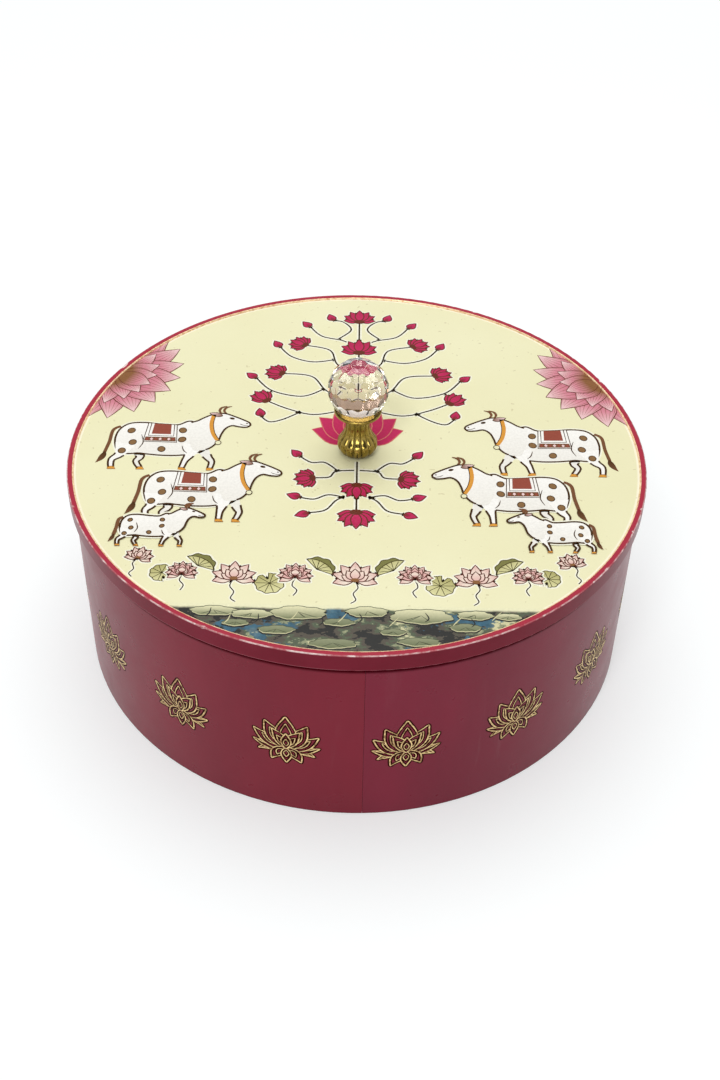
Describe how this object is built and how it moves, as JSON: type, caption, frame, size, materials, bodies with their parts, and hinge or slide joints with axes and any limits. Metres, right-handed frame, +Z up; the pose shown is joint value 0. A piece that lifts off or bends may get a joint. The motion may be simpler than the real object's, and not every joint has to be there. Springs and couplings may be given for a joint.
{
  "type": "round lidded box",
  "caption": "Round wooden box with a lift-off lid, a printed lid panel inside a thin rim and a faceted crystal knob on a fluted brass base.",
  "frame": {"origin": "middle of the underside, on the surface the box stands on", "axes": "+Z up along the box's axis, front with the wrap's seam towards -Y, +X to the right"},
  "size_m": [0.254, 0.254, 0.1426],
  "materials": {
    "mdf": "bare fibreboard, sanded",
    "crimson_wrap": "crimson laminate, semi-gloss",
    "crimson_paint": "crimson paint on wood, semi-gloss, worn at the edges",
    "printed_panel": "cream printed sheet under a clear gloss coat",
    "lining": "short-pile lining",
    "brass": "polished",
    "crystal": "clear, faceted",
    "screw_steel": "zinc plated"
  },
  "bodies": {
    "box": {"body_wall": "mdf", "body_wrap": "crimson_wrap", "base_disc": "mdf", "base_cover": "lining", "wall_lining": "lining", "floor_lining": "lining"},
    "lid": {"lid_panel": "mdf", "lid_hoop": "crimson_paint", "lid_print": "printed_panel", "locating_ring": "mdf", "lid_lining": "lining", "knob_base": "brass", "knob_ball": "crystal", "knob_screw": "screw_steel", "knob_washer": "screw_steel"}
  },
  "joints": [
    {"name": "lid_lift", "type": "slide", "parent": "box", "child": "lid", "axis": [0, 0, 1], "range_m": [0, 0.12]}
  ]
}
